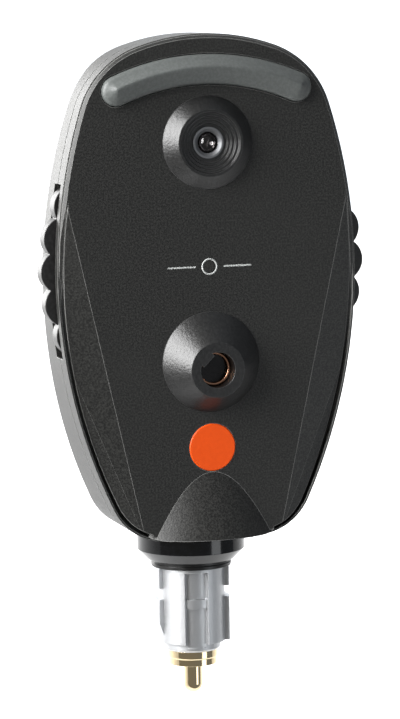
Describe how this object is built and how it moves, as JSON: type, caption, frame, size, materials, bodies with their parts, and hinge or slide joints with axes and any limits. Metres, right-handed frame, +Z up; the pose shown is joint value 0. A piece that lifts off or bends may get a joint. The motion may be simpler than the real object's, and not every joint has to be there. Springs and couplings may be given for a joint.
{
  "type": "ophthalmoscope head",
  "caption": "Direct ophthalmoscope head with lobed lens wheel, brow rest, sight and readout cones, aperture wheel and bayonet plug with removable lamp.",
  "frame": {"origin": "on the plug's axis, at the collar's flat underside", "axes": "+Z up along the plug's axis into the head, -Y towards the practitioner, +Y towards the patient"},
  "size_m": [0.0556, 0.0302, 0.1123],
  "materials": {
    "shell_black": "fine spark texture, matt",
    "brow_rubber": "moulded elastomer, satin",
    "bezel_black": "moulded, satin",
    "lens_glass": "clear, coated",
    "badge_orange": "printed foil under clear lacquer",
    "wheel_black": "moulded, satin",
    "dial_white": "black ring printed with white figures",
    "brass_turned": "turned",
    "steel": "ground",
    "black_alloy": "black anodised",
    "front_mirror": "front silvered",
    "filter_glass": "dyed",
    "collar_black": "turned, gloss",
    "neck_rubber": "moulded",
    "plug_silver": "matt silver plated die casting",
    "contact_gold": "gold plated, polished",
    "insulator_grey": "moulded",
    "tungsten": "drawn wire"
  },
  "bodies": {
    "housing": {"front_shell": "shell_black", "rear_shell": "shell_black", "brow_rest": "brow_rubber", "sight_cone": "bezel_black", "sight_ring": "black_alloy", "sight_window": "lens_glass", "readout_cone": "bezel_black", "readout_magnifier": "lens_glass", "badge": "badge_orange", "chassis": "black_alloy", "wheel_axle": "steel", "axle_screw": "steel", "detent_spring": "steel", "detent_ball": "steel", "lower_lens_tube": "black_alloy", "upper_lens_tube": "black_alloy", "condenser_lens": "lens_glass", "objective_lens": "lens_glass", "mirror_holder": "black_alloy", "mirror": "front_mirror", "chassis_screws": "steel", "aperture_bracket": "black_alloy", "aperture_axle": "steel", "aperture_detent": "steel", "exit_bezel": "bezel_black", "exit_window": "lens_glass", "housing_screws": "steel", "collar": "collar_black", "neck_ring": "neck_rubber", "plug_body": "plug_silver", "plug_sleeve": "insulator_grey", "plug_nut": "brass_turned"},
    "lens_wheel": {"lens_wheel": "wheel_black", "wheel_lenses": "lens_glass", "lens_retainer": "black_alloy", "dial_ring": "dial_white", "wheel_bush": "brass_turned"},
    "aperture_wheel": {"aperture_wheel": "wheel_black", "aperture_disc": "black_alloy", "colour_filters": "filter_glass", "aperture_bush": "brass_turned"},
    "lamp": {"lamp_base": "contact_gold", "lamp_insulator": "insulator_grey", "lamp_contact": "contact_gold", "lamp_sleeve": "steel", "bulb": "lens_glass", "bulb_seat": "insulator_grey", "filament": "tungsten"}
  },
  "joints": [
    {"name": "lens_wheel_turn", "type": "hinge", "parent": "housing", "child": "lens_wheel", "pos_m": [0, -0.009, 0.0505], "axis": [0, 1, 0], "continuous": true},
    {"name": "aperture_wheel_turn", "type": "hinge", "parent": "housing", "child": "aperture_wheel", "pos_m": [0, 0.0056, 0.027], "axis": [0, 0, 1], "continuous": true},
    {"name": "lamp_slide", "type": "slide", "parent": "housing", "child": "lamp", "axis": [0, 0, -1], "range_m": [0, 0.03]}
  ]
}
